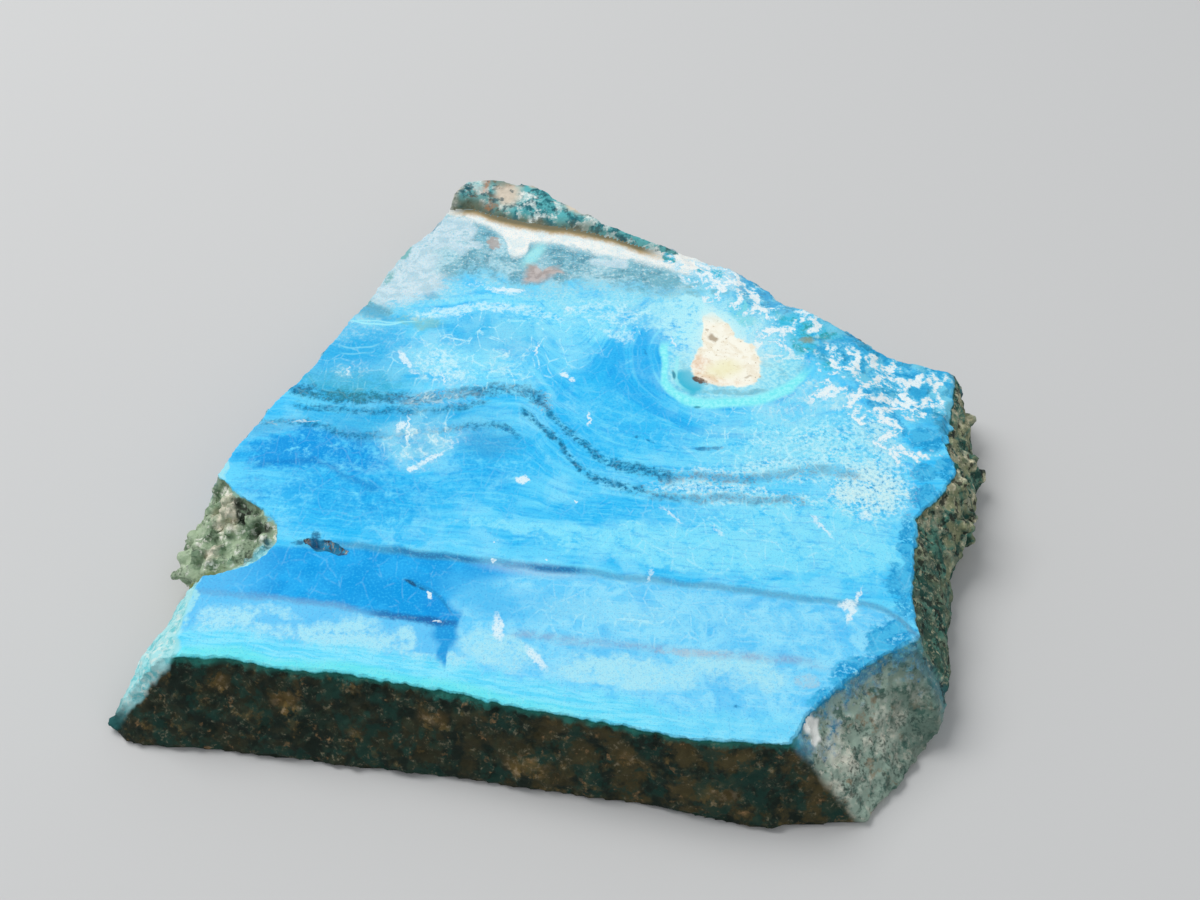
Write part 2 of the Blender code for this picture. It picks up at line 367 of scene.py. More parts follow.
# Noises that several layers share. grain is their mixture about 0, for ragged edges.
mottle = clouds(wild_bend, 2.8, 4.0)
tufts = clouds(wild_bend, 1.1, 4.0, 0.6, (13, 5, 0))
flecks = clouds(flat, 0.34, 3.0, 0.65, (3, 7, 0))
streaks = clouds(banded, 0.34, 3.0, 0.6)
broad_streaks = clouds(banded, 1.3, 2.0)
grain = plus(plus(-1.1, tufts, 1.3), flecks, 0.9)
wear = plus(1.0, grain, 1.9)


def worn(share, strength=1.0, low=0.20, high=0.85):
    """The same patch with its edge eaten into by the grain, and grain inside it."""
    return ease(times(share, wear), low, high, 0.0, strength)


blue = layers(
    "66D8FE",
    ("34C2FA", ease(broad_streaks, 0.34, 0.68)),
    ("8CE4FF", ease(mottle, 0.42, 0.7, 0.0, 0.65)))
deep_azure = patches(
    wild_bend, (3.4, 1.8, 3.4, 6.8, 0.8, 18), (8.6, -2.2, 6.4, 2.6, 0.85, -6),
    (0.4, -3.2, 2.2, 4.8, 0.7, 32), (-17.5, -9.6, 5.4, 3.4, 0.9, -14), (-10.5, -8.0, 5.6, 1.9, 0.6, -14),
    (-6.0, -4.6, 4.4, 2.8, 0.8, -10), (-5.6, -9.4, 1.0, 2.4, 0.7, 20), (-13.0, -12.2, 0.8, 2.0, 0.8, 10),
    (-18.4, 8.6, 3.6, 2.8, 0.9), (-10.4, 10.6, 2.6, 1.5, 0.7), (-8.5, 8.6, 2.2, 1.4, 0.6),
    (-10.5, 3.9, 3.4, 1.0, 0.6, -8), (-0.5, 2.6, 1.6, 2.4, 0.6), (5.0, 12.0, 2.0, 1.2, 0.5),
    (3.4, -10.6, 6.4, 1.0, 0.7, -3), (10.2, -11.0, 1.6, 0.7, 0.9, 8), (7.6, -15.0, 1.2, 1.1, 0.9),
    (13.8, -16.4, 1.1, 0.9, 0.8), (-3.2, -13.2, 1.6, 0.8, 0.5), soft=1.1)
blue = layer(blue, "22BCF8", worn(deep_azure, 0.85, 0.1, 0.95))
pale_zones = patches(
    wild_bend, (10.0, -14.2, 13.0, 2.0, 0.9, -5), (-3.0, -12.0, 7.0, 0.7, 0.7, -6),
    (16.0, -11.0, 7.0, 2.2, 0.8), (19.5, -14.5, 4.0, 3.0, 0.8), (-9.6, 6.0, 5.6, 2.4, 0.7),
    (-8.6, -0.2, 3.6, 0.9, 0.2, 8), (-3.0, 14.3, 10.0, 0.8, 1.0), (5.0, 14.2, 4.0, 1.6, 0.9),
    (-1.5, 11.8, 6.0, 2.6, 0.75), (16.6, -3.4, 8.0, 3.6, 0.85), (-16.0, 13.2, 2.6, 0.7, 0.6, 10), soft=1.1)
blue = layers(
    blue,
    ("88E8FF", worn(pale_zones, 0.85)),
    ("0C98EA", ease(streaks, 0.54, 0.74, 0.0, 0.36)),
    ("86ECFF", ease(streaks, 0.46, 0.28, 0.0, 0.34)),
    ("129CEA", times(near_round, ease(broad_streaks, 0.54, 0.64), 0.4)))
left_deep = patches(
    slight_bend, (-22.2, -4.2, 3.8, 1.9, 1.0, 6), (-20.6, -2.4, 2.0, 1.2, 0.9, -20),
    (-17.6, -4.4, 3.4, 2.2, 0.75, -24), (-17.0, -8.2, 7.6, 3.4, 0.42, -14),
    (-24.0, -8.2, 2.4, 1.6, 0.4, -40), (-8.4, -6.4, 5.0, 1.8, 0.3, -12), soft=1.3)
blue = layers(
    blue,
    ("0098E4", worn(left_deep, 0.98, 0.05, 1.0)),
    ("1FA2DA", patches(
        wild_bend, (-19.0, 7.0, 4.6, 5.4, 0.5), (-15.0, -0.6, 7.0, 1.5, 0.55), (-8.0, 9.6, 4.0, 2.0, 0.3),
        soft=1.5)),
    ("3C9CD4", patches(
        wild_bend, (-7.0, -3.4, 2.4, 1.6, 0.6), (-24.5, -1.4, 1.8, 0.9, 0.5),
        (-16.6, -2.4, 2.2, 0.7, 0.6, -8), (-12.4, -3.2, 2.4, 1.4, 0.5), soft=1.4)))

# In front of the dark seam: paler and cloudier on the right; on the left a deep wedge above the
# second seam, a lighter one below it, and pale lobes.
SEAM = [(-21.0, -13.9), (-17.5, -13.9), (-15, -14.2), (-12, -14.7), (-8, -15.3), (-4, -15.85), (0, -16.5),
        (6, -17.4), (12, -18.4), (18, -19.3), (20.6, -19.8), (21.6, -20.4), (23.2, -22.6)]
LOWER_SEAM = [
    (-28.5, -18.1), (-24, -18.6), (-21, -18.9), (-18, -19.4), (-15.5, -19.9), (-12, -20.7), (-8.2, -21.3)]
FRONT_EDGE = [(-33, -23.9), (-23.4, -24.0), (-19.9, -25.0), (-15.9, -25.2), (-11.8, -26.2), (-7.7, -27.0),
              (-3.7, -28.2), (1.5, -29.2), (6.6, -30.6), (14.0, -31.0)]
past_seam = less(sy, graph(sx, SEAM))
past_lower = less(sy, graph(sx, LOWER_SEAM))
from_front = less(sy, graph(sx, FRONT_EDGE))
front_share = ease(past_seam, 0.0, -0.5)
front_blue = layers(
    "94E4FF",
    ("68D0FD", ease(tufts, 0.34, 0.66)),
    ("44BCF8", ease(mottle, 0.44, 0.72, 0.0, 0.6)),
    ("A6E8FE", ease(streaks, 0.46, 0.3, 0.0, 0.4)))
DEEP_EDGE = [
    (-25.2, -9.0), (-24.6, -8.9), (-23.0, -8.3), (-21.5, -8.1), (-20.4, -8.3), (-19.3, -8.9), (-18.2, -8.4),
    (-17.2, -6.8), (-16.2, -4.6), (-15.0, -3.0)]
left_of_edge = less(graph(sy, DEEP_EDGE), sx)
softening = ease(sy, -19.6, -16.5)
left_front = ease(left_of_edge, plus(-0.1, softening, -3.0), plus(0.45, softening, 1.6))
wedge = times(left_front, ease(past_lower, -0.3, 0.3), ease(sx, -26.0, -20.0, 0.35, 1.0))
front_blue = layers(
    front_blue,
    ("62C6F8", times(left_front, 0.85)),
    (layer("009CE6", "18ACF2", ease(mottle, 0.4, 0.66)), wedge),
    ("4CBEF4", patches(
        wild_bend, (-6.6, -18.6, 3.2, 1.7, 0.85, -20), (-2.0, -19.4, 3.0, 1.0, 0.4, -8), soft=1.5)))
lobes = patches(
    wild_bend, (-15.8, -22.6, 2.9, 1.7, 1.0, -8), (-12.2, -22.8, 1.6, 1.2, 0.8),
    (-24.4, -21.0, 2.1, 1.5, 0.8), (-20.6, -20.5, 2.4, 0.6, 0.5, -14), (-22.0, -22.2, 3.2, 0.9, 0.6),
    (-9.6, -24.8, 2.8, 0.9, 0.8, -10), (-5.4, -23.6, 3.0, 1.6, 0.8, -10), (3.0, -25.4, 5.0, 1.4, 0.9, -8),
    (10.5, -25.3, 4.0, 1.3, 0.8, -8), (2.0, -20.2, 5.0, 1.2, 0.4, -8), (12.0, -21.0, 4.0, 1.2, 0.3, -8),
    soft=0.8)
front_blue = layer(front_blue, "B0ECF8", worn(lobes, 0.9, 0.1, 1.0))
strip = layer("60DCFC", "8AEAFF", ease(streaks, 0.36, 0.62))
front_blue = layers(
    front_blue,
    (strip, times(ease(plus(from_front, grain, 1.2), 2.9, 1.5), ease(sx, 16.0, 0.0, 0.35, 1.0), 0.95)),
    ("6CECEC", times(ease(from_front, 1.1, 0.3), ease(sx, 6.0, -8.0), 0.7)))
blue = layer(blue, front_blue, front_share)
TAIL = [
    (-9.7, -20.6), (-8.2, -20.4), (-8.25, -22.6), (-8.8, -23.4), (-8.9, -24.8), (-9.5, -24.1),
    (-9.5, -23.0), (-9.9, -22.4)]
blue = layers(
    blue,
    ("0698E0", times(shape((sx, sy), TAIL, 0.9), 0.95)),
    ("0294E2", patch(slight_bend, -9.7, -20.0, 1.8, 0.9, 0.9, -46, soft=1.0)))
HOOK = [(-12.4, -17.1), (-11.4, -17.7), (-10.5, -18.3), (-9.4, -19.2), (-8.7, -20.2), (-8.3, -21.6)]
blue = layers(
    blue,
    ("0A78B4", times(stripe(sx, sy, HOOK, 0.2, 0.25, 0.6), 0.55)),
    ("123A66", patches(
        slight_bend, (-11.9, -17.55, 0.5, 0.13, 0.85, -38), (-11.1, -18.1, 0.3, 0.1, 0.6, -38), soft=0.9)))

# Further back: steel blue and grey-white clouds, and the cream-white band below the lip. That band is
# partly the stone's own white and partly painted sheen: light reflected off the polish, put into its colour.
BACK = [
    (-20, 12.4), (-17, 13.3), (-14, 14.3), (-12.4, 15.8), (-11.2, 17.8), (-8, 18.3), (-6, 17.2), (-3, 16.6),
    (0, 16.5), (4, 15.8), (8, 14.8), (12, 14.2)]
past_back = less(wild_y, graph(wild_x, BACK))
pale_back = layer("8CDCF2", "B4E8F2", ease(flecks, 0.42, 0.64))
blue = layer(blue, pale_back, times(
    ease(plus(past_back, grain, 4.0), -5.0, 0.0), ease(mottle, 0.36, 0.62, 0.35, 0.95), 0.9))
steel = layers(
    "8ABECA",
    ("6297A6", ease(tufts, 0.4, 0.66)),
    ("C4E6EC", ease(mottle, 0.44, 0.66, 0.0, 0.75)),
    ("58A4B4", ease(flecks, 0.5, 0.7, 0.0, 0.55)),
    ("DDF4F2", ease(flecks, 0.46, 0.3, 0.0, 0.6)))
clouds_back = patches(
    wild_bend, (-15.0, 16.6, 3.4, 3.4, 1.0, -20), (-14.6, 20.4, 2.0, 2.6, 0.9, -25),
    (-12.6, 24.0, 2.4, 2.6, 0.95), (-10.6, 21.8, 1.6, 0.9, 0.8), (2.0, 20.1, 1.8, 0.7, 0.8, -20), soft=0.9)
steel = layer(steel, layer("DCECF0", "BCD8E0", ease(tufts, 0.4, 0.64)), worn(clouds_back, 0.95))
blue = layer(blue, steel, times(
    ease(calc("ADD", past_back, times(grain, 2.2)), -1.2, 1.6), ease(fx, 12.5, 7.5)))
WHITE_FOOT = [
    (-12.8, 26.7), (-10.5, 26.0), (-8.6, 24.8), (-7.2, 23.4), (-6.3, 20.6), (-5.5, 20.5), (-4.6, 22.4),
    (-3, 22.4), (-1, 21.7), (1, 20.8), (3, 20.2), (5, 19.7), (7, 18.8), (8.6, 17.9), (10, 17.5), (12, 16.4),
    (13.4, 15.0), (15.2, 13.2), (17.2, 12.3)]
past_white = plus(less(sy, graph(sx, WHITE_FOOT)), grain, 1.4)
# The cream-white band: the stone's white with painted sheen of reflected light in it.
cream_white_and_sheen = layer("FDFBF2", "E4EFEC", ease(tufts, 0.4, 0.66, 0.0, 0.8))
blue = layers(
    blue,
    (cream_white_and_sheen, times(ease(past_white, -0.35, 0.7), ease(fx, -13.5, -12.0))),
    ("A9EEF0", patch(slight_bend, -4.4, 20.9, 0.6, 1.7, 0.9, -24, soft=1.1)))

# Right of there: white net over azure and teal, and the pale halo behind the inclusion.
past_inclusion = ease(plus(fy, fx, 0.92), 23.0, 26.0)
blue = layer(
    blue,
    layer(layer("30A8DA", "2088B0", ease(tufts, 0.46, 0.6)), "84DCF0", ease(mottle, 0.5, 0.66, 0.0, 0.75)),
    times(past_inclusion, ease(fx, 11.5, 14.5), 0.95))
halo = patches(
    wild_bend, (11.2, 10.4, 4.0, 5.6, 1.0, 20), (14.6, 8.6, 2.8, 4.6, 0.85, 10), (7.4, 12.4, 3.4, 2.6, 0.6),
    (8.2, 6.2, 1.6, 3.4, 0.65, 8), soft=1.1)
blue = layer(blue, "BDF6FC", worn(halo, 0.95, 0.15, 0.95))
teals = patches(
    fine_bend, (17.9, 10.7, 1.7, 1.8, 1.0), (19.9, 10.4, 0.9, 1.4, 0.8, 30), (18.2, 8.0, 1.3, 0.9, 0.8, 40),
    (20.2, 5.7, 0.8, 0.7, 0.9), (11.2, 18.4, 1.2, 1.0, 0.9, -30), (7.5, 20.2, 0.7, 0.9, 0.7),
    (21.4, 9.4, 0.8, 1.0, 0.7), (16.2, 12.6, 0.8, 0.5, 0.6), soft=0.8)
blue = layers(
    blue,
    (layer("3FC4E4", "2D9FA6", ease(tufts, 0.44, 0.62)), worn(teals)),
    ("7CDCE4", worn(
        patches(fine_bend, (13.3, 13.2, 1.1, 1.2, 1.0), (13.9, 11.6, 0.8, 0.8, 0.9), soft=0.8), 0.9)),
    ("76B4C2", worn(
        patches(
            fine_bend, (7.2, 17.0, 1.5, 0.9, 0.9, -20), (9.6, 15.4, 0.9, 0.6, 0.8),
            (11.8, 15.6, 0.9, 0.7, 0.8), soft=0.9),
        0.8)),
    ("8E9470", patches(
        fine_bend, (18.8, 9.2, 0.6, 0.5, 0.8, 20), (9.6, 16.5, 0.7, 0.3, 0.5, 30), soft=0.9)))

# Clear blue and green-blue knobs at the right-hand edge.
clear_blue = patches(
    fine_bend, (23.6, 1.4, 1.1, 2.4, 1.0, 28), (22.4, 2.8, 1.6, 0.6, 0.9, -6), (24.7, 5.0, 1.3, 1.1, 0.9),
    (26.8, 5.8, 1.6, 0.6, 0.9, -10), (25.6, 1.8, 1.0, 1.0, 0.7), (24.6, -1.2, 0.7, 1.6, 0.9, 24),
    (21.6, 8.6, 1.2, 1.2, 0.7), (26.8, -2.9, 1.4, 1.5, 1.0), (28.0, -6.2, 1.0, 1.6, 1.0),
    (26.0, -6.6, 1.1, 1.1, 0.9), (25.8, -9.3, 1.4, 1.5, 1.0), (23.9, -14.6, 0.9, 3.8, 1.0, -4),
    (22.6, -18.4, 1.1, 2.8, 0.8, 8), (21.2, -22.6, 2.2, 1.6, 0.9, 50), (18.4, -25.4, 2.0, 1.1, 0.95, 38),
    (16.4, -27.8, 1.4, 1.1, 0.9, 40), soft=0.8)
blue = layers(
    blue,
    (layer("1A98D2", "48BAE8", ease(tufts, 0.4, 0.6)), worn(clear_blue, 1.0, 0.3, 0.8)),
    ("2AA6C4", worn(
        patches(wild_bend, (-18.6, 4.0, 4.2, 1.5, 0.9, -4), (-17.6, 2.3, 4.2, 0.7, 0.8, -4), soft=1.5),
        0.62, 0.0, 1.1)))

# Dark dotted bands, one above the other, that fold down to the right. Each is a soft shade
# with specks in it, given as its width, its depth of colour and its points.
DARK_BANDS = (
    (1.3, 1.0, [
        (-24, 3.4), (-22, 2.7), (-20, 2.1), (-17, 1.9), (-14, 1.8), (-11, 2.1), (-9, 2.6), (-6.5, 2.95),
        (-4.6, 2.8), (-3.2, 2.1), (-2.0, 0.9)]),
    (0.5, 0.65, [(-23.5, 1.3), (-21, 0.7), (-19, 0.5), (-16, 0.35), (-12, 0.4), (-9, 1.0), (-7.0, 1.4)]),
    (1.0, 0.85, [
        (-4.6, 1.9), (-3.6, 1.5), (-2.6, 0.4), (-1.4, -1.5), (0, -3.1), (1, -4.4), (2, -5.3), (3.2, -5.9),
        (4.5, -6.3), (7.4, -7.0)]),
    (0.8, 0.95, [
        (-5.2, 0.9), (-4.0, -0.3), (-2.6, -2.0), (-1.7, -3.2), (-0.9, -4.7), (0, -6.2), (1, -7.0),
        (2.2, -7.6), (3.5, -8.1), (5.4, -8.6)]),
    (0.5, 0.55, [
        (-25.5, -0.8), (-22, -1.0), (-20, -1.4), (-18.5, -2.3), (-16.5, -2.5), (-13, -2.1), (-10, -1.7),
        (-8, -1.2), (-6.4, -1.2), (-5.4, -2.0), (-4.4, -3.0)]),
    (0.9, 0.55, [(5.4, -7.2), (8, -6.9), (11, -7.2), (14, -7.1), (16, -6.5), (18, -6.3), (21.5, -7.0)]),
    (0.9, 0.55, [(4.6, -8.8), (8, -9.3), (11, -9.1), (13, -9.6), (15, -9.3), (17.2, -10.0)]),
)
specks = ease(plus(flecks, tufts, 0.4), 0.66, 0.84)
speckle_zone = patches(
    wild_bend, (9.0, -7.7, 4.0, 1.6, 0.9, 6), (12.5, -9.3, 6.0, 0.9, 0.8, -4),
    (15.4, -6.4, 5.0, 1.3, 0.8, 4), (21.8, -8.0, 2.8, 3.2, 1.0), (-12.0, 1.9, 4.4, 0.6, 0.6, 3),
    (-3.0, 1.6, 0.9, 1.2, 0.8), (18.0, -3.2, 5.0, 2.6, 0.6), (23.2, -3.4, 1.6, 3.0, 0.9, 24), soft=1.0)
blue = layers(
    blue,
    ("BCF2FC", worn(speckle_zone, 0.6, 0.3, 1.05)),
    ("E6FAF8", times(speckle_zone, ease(flecks, 0.5, 0.64), 0.8)),
    ("3C84B4", times(speckle_zone, ease(flecks, 0.46, 0.32), 0.6)))
pale_right = patches(
    wild_bend, (21.6, -8.2, 2.8, 3.6, 0.9, -20), (23.4, -3.0, 1.3, 2.8, 1.0, 28),
    (21.4, 0.8, 1.0, 2.6, 0.9, 40), (18.6, 3.6, 2.4, 1.2, 0.7, -20), (19.6, -4.6, 3.4, 1.6, 0.6, -30),
    soft=1.3)
pale_grain = plus(plus(-1.8, tufts, 1.6), flecks, 2.0)
blue = layer(blue, "D6F6F4", times(ease(calc("ADD", pale_right, pale_grain), 0.35, 1.25), pale_right, 0.95))
for width, depth, points in DARK_BANDS:
    band = stripe(sx, fy, points, width, 0.5)
    blue = layer(blue, "1080B0", worn(times(band, 0.9), depth * 0.9, 0.1, 1.0))
    blue = layer(blue, "125C80", times(band, specks, depth * 0.6 + 0.2))
blue = layer(blue, "3C8C8C", worn(patch(fine_bend, -18.6, 2.2, 3.6, 0.8, 0.8, -3, soft=1.4), 0.5, 0.0, 1.1))
dashes = patches(
    slight_bend, (9.9, -3.95, 1.2, 0.26, 0.95, 3), (4.3, -2.6, 0.4, 0.26, 0.8),
    (5.4, -3.1, 0.5, 0.18, 0.6, -25), (7.0, -3.8, 0.8, 0.2, 0.5, -20), (-2.6, -4.0, 0.9, 0.14, 0.5),
    (-5.3, -2.2, 1.1, 0.26, 0.7, -38), (5.2, 7.5, 0.18, 0.8, 0.6, 12), (10.2, -28.2, 0.6, 0.14, 0.5),
    (5.0, -23.5, 0.5, 0.16, 0.5, -10), soft=1.2)
blue = layer(blue, "1F7CB0", worn(dashes, 0.85, 0.3, 0.9))
EDGE_OF_DEEP = [
    (-25.2, -5.7), (-23, -5.5), (-21, -5.2), (-19.5, -5.7), (-18, -6.7), (-16, -8.0), (-14.6, -8.3)]
blue = layer(blue, "0A78C4", times(stripe(sx, fy, EDGE_OF_DEEP, 0.4, 0.4), 0.5))

# The two straight seams, and a faint lilac one.
SEAM_DEPTH = [
    (-21, 0.2), (-18.0, 0.6), (-15, 0.6), (-12, 0.9), (-8, 0.9), (-6.4, 0.5), (-4, 0.6), (-2.6, 0.95),
    (-0.4, 0.9), (0.6, 0.6), (12, 0.65), (20, 0.6), (23.2, 0.8)]
blue = layer(blue, "A8CDE8", patch(flat, -3.4, -16.3, 3.4, 0.6, 0.6, -9, soft=1.2))
seam_off = plus(calc("ABSOLUTE", past_seam), grain, 0.14)
seam_blue = layer("1C6FA8", "5E9ABC", ease(sx, -0.8, 1.6))
blue = layer(blue, seam_blue, times(
    ease(seam_off, 0.56, 0.06), ease(sx, -21.0, -19.0), graph(sx, SEAM_DEPTH)))
LOWER_DEPTH = [(-28.5, 0.3), (-20, 0.55), (-16, 0.6), (-15, 0.4), (-13.8, 0.8), (-9.4, 0.95), (-8.2, 0.6)]
lower_off = plus(calc("ABSOLUTE", past_lower), grain, 0.3)
lower_seam = times(ease(lower_off, 0.50, 0.08), ease(sx, -8.0, -8.4), graph(sx, LOWER_DEPTH))
blue = layer(blue, layer("6C9CC8", "1C64A8", ease(sx, -16.0, -13.5)), lower_seam)
LILAC_SEAM = [(-5.5, -21.8), (-1, -22.6), (1.5, -22.9), (6, -23.4), (10, -24.0), (14, -24.3), (17.5, -25.2)]
blue = layers(
    blue,
    ("8FB0D2", times(stripe(sx, sy, LILAC_SEAM, 0.5, 0.4, 2.0), ease(tufts, 0.36, 0.6, 0.25, 0.75))),
    ("B8D2DC", worn(
        patches(slight_bend, (7.5, -23.7, 2.4, 0.4, 0.7, -4), (15.2, -26.2, 0.9, 0.7, 0.6), soft=1.0),
        0.6)))

# White quartz: hairline cracks, haze round them, chunky veins at the right, and single flecks.
broken = ease(tufts, 0.42, 0.60)
net_zone = either(
    patches(
        soft_bend, (-8.0, 7.4, 8.6, 5.0, 1.0, 8), (-12.4, -2.6, 2.8, 2.8, 1.0), (2.4, 12.4, 6.4, 2.8, 1.0),
        (16.4, -2.4, 8.0, 5.0, 1.0), (-18.0, 5.6, 4.0, 3.0, 0.4), (12.0, -12.6, 10.0, 4.0, 0.6),
        (4.0, -20.6, 8.0, 3.0, 0.6), (15.6, 8.8, 2.6, 4.6, 1.0), soft=1.0),
    0.16)
soft_net = cracks(wild_bend, 2.2, 0.95, 5, 1, 0, (1, 0.7, 1), 30)
blue = layer(blue, "9CE8FA", times(
    soft_net, ease(net_zone, 0.1, 1.0, 0.02, 0.45), ease(mottle, 0.36, 0.6, 0.4, 1.0)))
wide_net = cracks(slight_bend, 2.6, 0.10, 0, 0, 0, (1, 0.62, 1), 22)
fine_net = cracks(slight_bend, 1.3, 0.085, 7, 3, 0, (1, 0.62, 1), -30)
net = either(wide_net, times(fine_net, 0.8))
blue = layer(blue, "C0F6FF", times(net, broken, net_zone, ease(flecks, 0.34, 0.56, 0.3, 0.9)))
tiny_net = cracks(wild_bend, 0.7, 0.15, 11, 2, 0, (1, 0.6, 1), 35)
tent = patches(
    slight_bend, (-12.2, -2.6, 2.7, 1.5, 1.0), (-12.6, -4.6, 1.3, 1.6, 0.9), (-11.4, 1.9, 2.6, 0.8, 0.7, 4),
    (-11.6, 5.4, 2.6, 1.6, 0.6, -36), (-13.0, 8.4, 3.0, 1.4, 0.4), (-6.0, 7.0, 2.4, 1.2, 0.5, 50),
    (-18.6, 5.4, 1.4, 1.0, 0.35), (14.8, 8.0, 1.4, 4.0, 0.8, 8), (17.2, 1.4, 3.0, 1.8, 0.6, 30),
    (12.6, 1.7, 3.0, 0.7, 0.5), soft=1.2)
blue = layers(
    blue,
    ("B0E4F0", times(tent, ease(tufts, 0.34, 0.62, 0.08, 0.5))),
    ("DCF6F8", times(
        tiny_net, tent, ease(broken, 0.0, 1.0, 0.35, 1.0), ease(flecks, 0.36, 0.56, 0.3, 1.0), 0.8)))
haze_zone = patches(
    wild_bend, (-9.6, 12.8, 5.6, 0.9, 0.9, 8), (-3.4, 12.4, 3.0, 0.7, 0.7, -10),
    (2.0, 13.0, 3.6, 1.5, 0.7, -8), (2.6, 10.2, 2.0, 1.0, 0.7, -20), (-12.0, -2.8, 2.4, 1.6, 0.4),
    (-11.0, 5.6, 3.4, 2.2, 0.75, -38), (-5.8, 6.2, 1.0, 3.0, 0.5, 20), (-7.4, 15.8, 2.0, 0.6, 0.9, -6),
    (-9.4, 16.5, 1.6, 0.5, 0.7), (2.0, 10.9, 1.2, 0.4, 0.9), (-19.2, 5.4, 0.9, 0.7, 0.6),
    (-24.4, -0.8, 1.8, 0.3, 0.6), soft=1.0)
blue = layer(blue, "D2F8FE", times(ease(calc("ADD", haze_zone, pale_grain), 0.4, 1.2), haze_zone, 0.95))
spray_zone = patches(
    wild_bend, (25.2, 4.0, 4.6, 3.8, 1.0, 10), (16.4, 9.4, 2.0, 4.0, 0.9, 10), (21.2, 6.2, 2.2, 2.4, 1.0),
    (23.2, -1.4, 1.4, 4.0, 0.9, 28), (25.0, -4.6, 2.4, 0.8, 0.9), (12.4, 16.2, 4.6, 2.6, 1.0, -42),
    (20.0, 3.4, 2.4, 1.2, 0.8, 30), (19.0, 11.8, 2.4, 1.0, 0.8, -45), soft=0.9)
veins = cracks(wild_bend, 2.3, 0.75, 4, 9, 0, (1, 0.7, 1), -50)
veinlets = cracks(fine_bend, 0.9, 0.3, 2, 5, 0, (1, 0.7, 1), -20)
veined = plus(plus(plus(plus(-0.34, grain, 1.5), veinlets, 0.22), veins, 0.62), spray_zone, 0.45)
in_spray = ease(spray_zone, 0.0, 0.6)
blue = layers(
    blue,
    ("74D6F4", times(ease(veined, 0.2, 0.66), in_spray, 0.75)),
    ("F4FCFA", times(ease(veined, 0.54, 0.98), in_spray, 0.95)))
# Single flecks and short streaks, each given as for patch.
WHITE_MARKS = (
    (-13.5, -1.8, 0.13, 1.8, 0.8, 3), (-14.1, -1.4, 0.34, 0.7, 0.7, -15), (-14.5, 6.6, 0.32, 1.3, 0.75, 30),
    (-13.6, 5.0, 0.6, 0.2, 0.5, -30), (-3.75, 7.9, 0.12, 0.95, 0.7, -8), (0.6, -0.6, 0.12, 0.8, 0.75),
    (-11.4, -5.0, 1.4, 0.22, 0.7, 38), (-9.9, -3.6, 0.9, 0.14, 0.4, 60), (-14.2, -4.6, 0.12, 1.6, 0.3, 34),
    (-12.8, -6.1, 0.42, 0.3, 0.9, 20), (-6.4, 15.8, 1.5, 0.28, 0.85, -6), (-1.4, 4.7, 0.36, 0.3, 0.85),
    (-0.8, 4.1, 0.3, 0.22, 0.7, -30), (-4.35, -7.3, 0.42, 0.42, 1.0, 20), (-5.5, -21.6, 0.36, 1.3, 0.7, 6),
    (-2.8, -24.2, 0.34, 1.4, 0.65, 36), (18.7, -19.6, 0.7, 0.5, 0.8), (18.8, -20.3, 0.22, 1.0, 0.8, -24),
    (19.5, -18.7, 0.14, 0.9, 0.7, -24), (-10.4, -18.65, 0.2, 0.42, 1.0, 22),
    (-9.8, -21.05, 0.36, 0.12, 0.9), (-6.1, -15.45, 0.14, 0.3, 0.7), (-6.1, -13.6, 0.12, 0.12, 0.8),
    (-0.3, -9.6, 0.12, 0.26, 0.8, 15), (10.0, -12.5, 0.14, 0.8, 0.5, 35), (6.8, -11.0, 0.14, 1.4, 0.55, 42),
    (17.6, -12.0, 0.18, 1.5, 0.6, 30), (5.0, -16.8, 0.14, 0.9, 0.5, -10), (-19.0, 5.2, 0.13, 0.6, 0.6, 8),
    (-11.2, 4.3, 0.16, 0.9, 0.6, 12), (20.2, 2.4, 1.4, 0.22, 0.8, 38), (7.6, 8.8, 0.13, 0.9, 0.7, 22),
    (-1.2, 13.2, 0.3, 0.3, 0.7), (-2.3, -15.4, 0.12, 0.1, 0.9), (-21.6, -0.8, 1.3, 0.12, 0.5, 4),
    (21.0, -11.0, 0.5, 0.6, 0.5))
grit = clouds(flat, 0.17, 1.0, 0.5, (20, 40, 0))
_, _, ragged_bend = bend((px, py), 0.5, 0.7)
broken_up = calc("ADD", grit, flecks)
blue = layers(
    blue,
    ("EAFAFC", ease(times(patches(ragged_bend, *WHITE_MARKS, soft=1.2), broken_up), 0.15, 0.85, 0.0, 0.92)),
    ("48D2FF", ease(grit, 0.52, 0.78, 0.0, 0.32)),
    ("0888CE", ease(grit, 0.44, 0.24, 0.0, 0.24)))

# The inclusion of cream clay, stained brown at its lower left, in a turquoise ring.
RING = [
    (0.0, 5.2), (0.04, 5.45), (0.06, 5.7), (0.1, 6.2), (0.145, 6.5), (0.175, 6.35), (0.21, 5.99),
    (0.25, 5.65), (0.29, 5.7), (0.33, 5.73), (0.367, 5.9), (0.4, 6.1), (0.44, 6.35), (0.5, 6.6), (1.0, 5.2)]
RING_WIDTH = [(0.0, 0.24), (0.06, 0.30), (0.13, 0.46), (0.20, 0.58), (0.36, 0.56), (0.44, 0.40), (0.5, 0.34)]
around_ring = either(ease(round_turn, 0.500, 0.42), ease(round_turn, 0.93, 0.97))
ring_off = less(round_reach, graph(round_turn, RING))
inside = layers(
    "84DCF2",
    ("B4F2F8", ease(flecks, 0.36, 0.62)),
    ("62B8D2", ease(tufts, 0.5, 0.7, 0.0, 0.6)))
blue = layer(blue, inside, times(ease(ring_off, 0.0, -0.5), ease(sy, 8.5, 5.5), 0.8))
TEAL_POCKET = [(7.6, 5.0), (8.7, 5.4), (9.3, 4.6), (9.9, 3.5), (9.7, 2.7), (8.8, 2.2), (8.1, 2.8)]
blue = layers(
    blue,
    ("27B9D8", times(shape((sx, sy), TEAL_POCKET, 0.8), 0.95)),
    ("4FA8BE", worn(patch(slight_bend, 12.4, 2.6, 3.0, 0.42, 0.8, 3, soft=0.9), 0.6, 0.3, 0.9)))
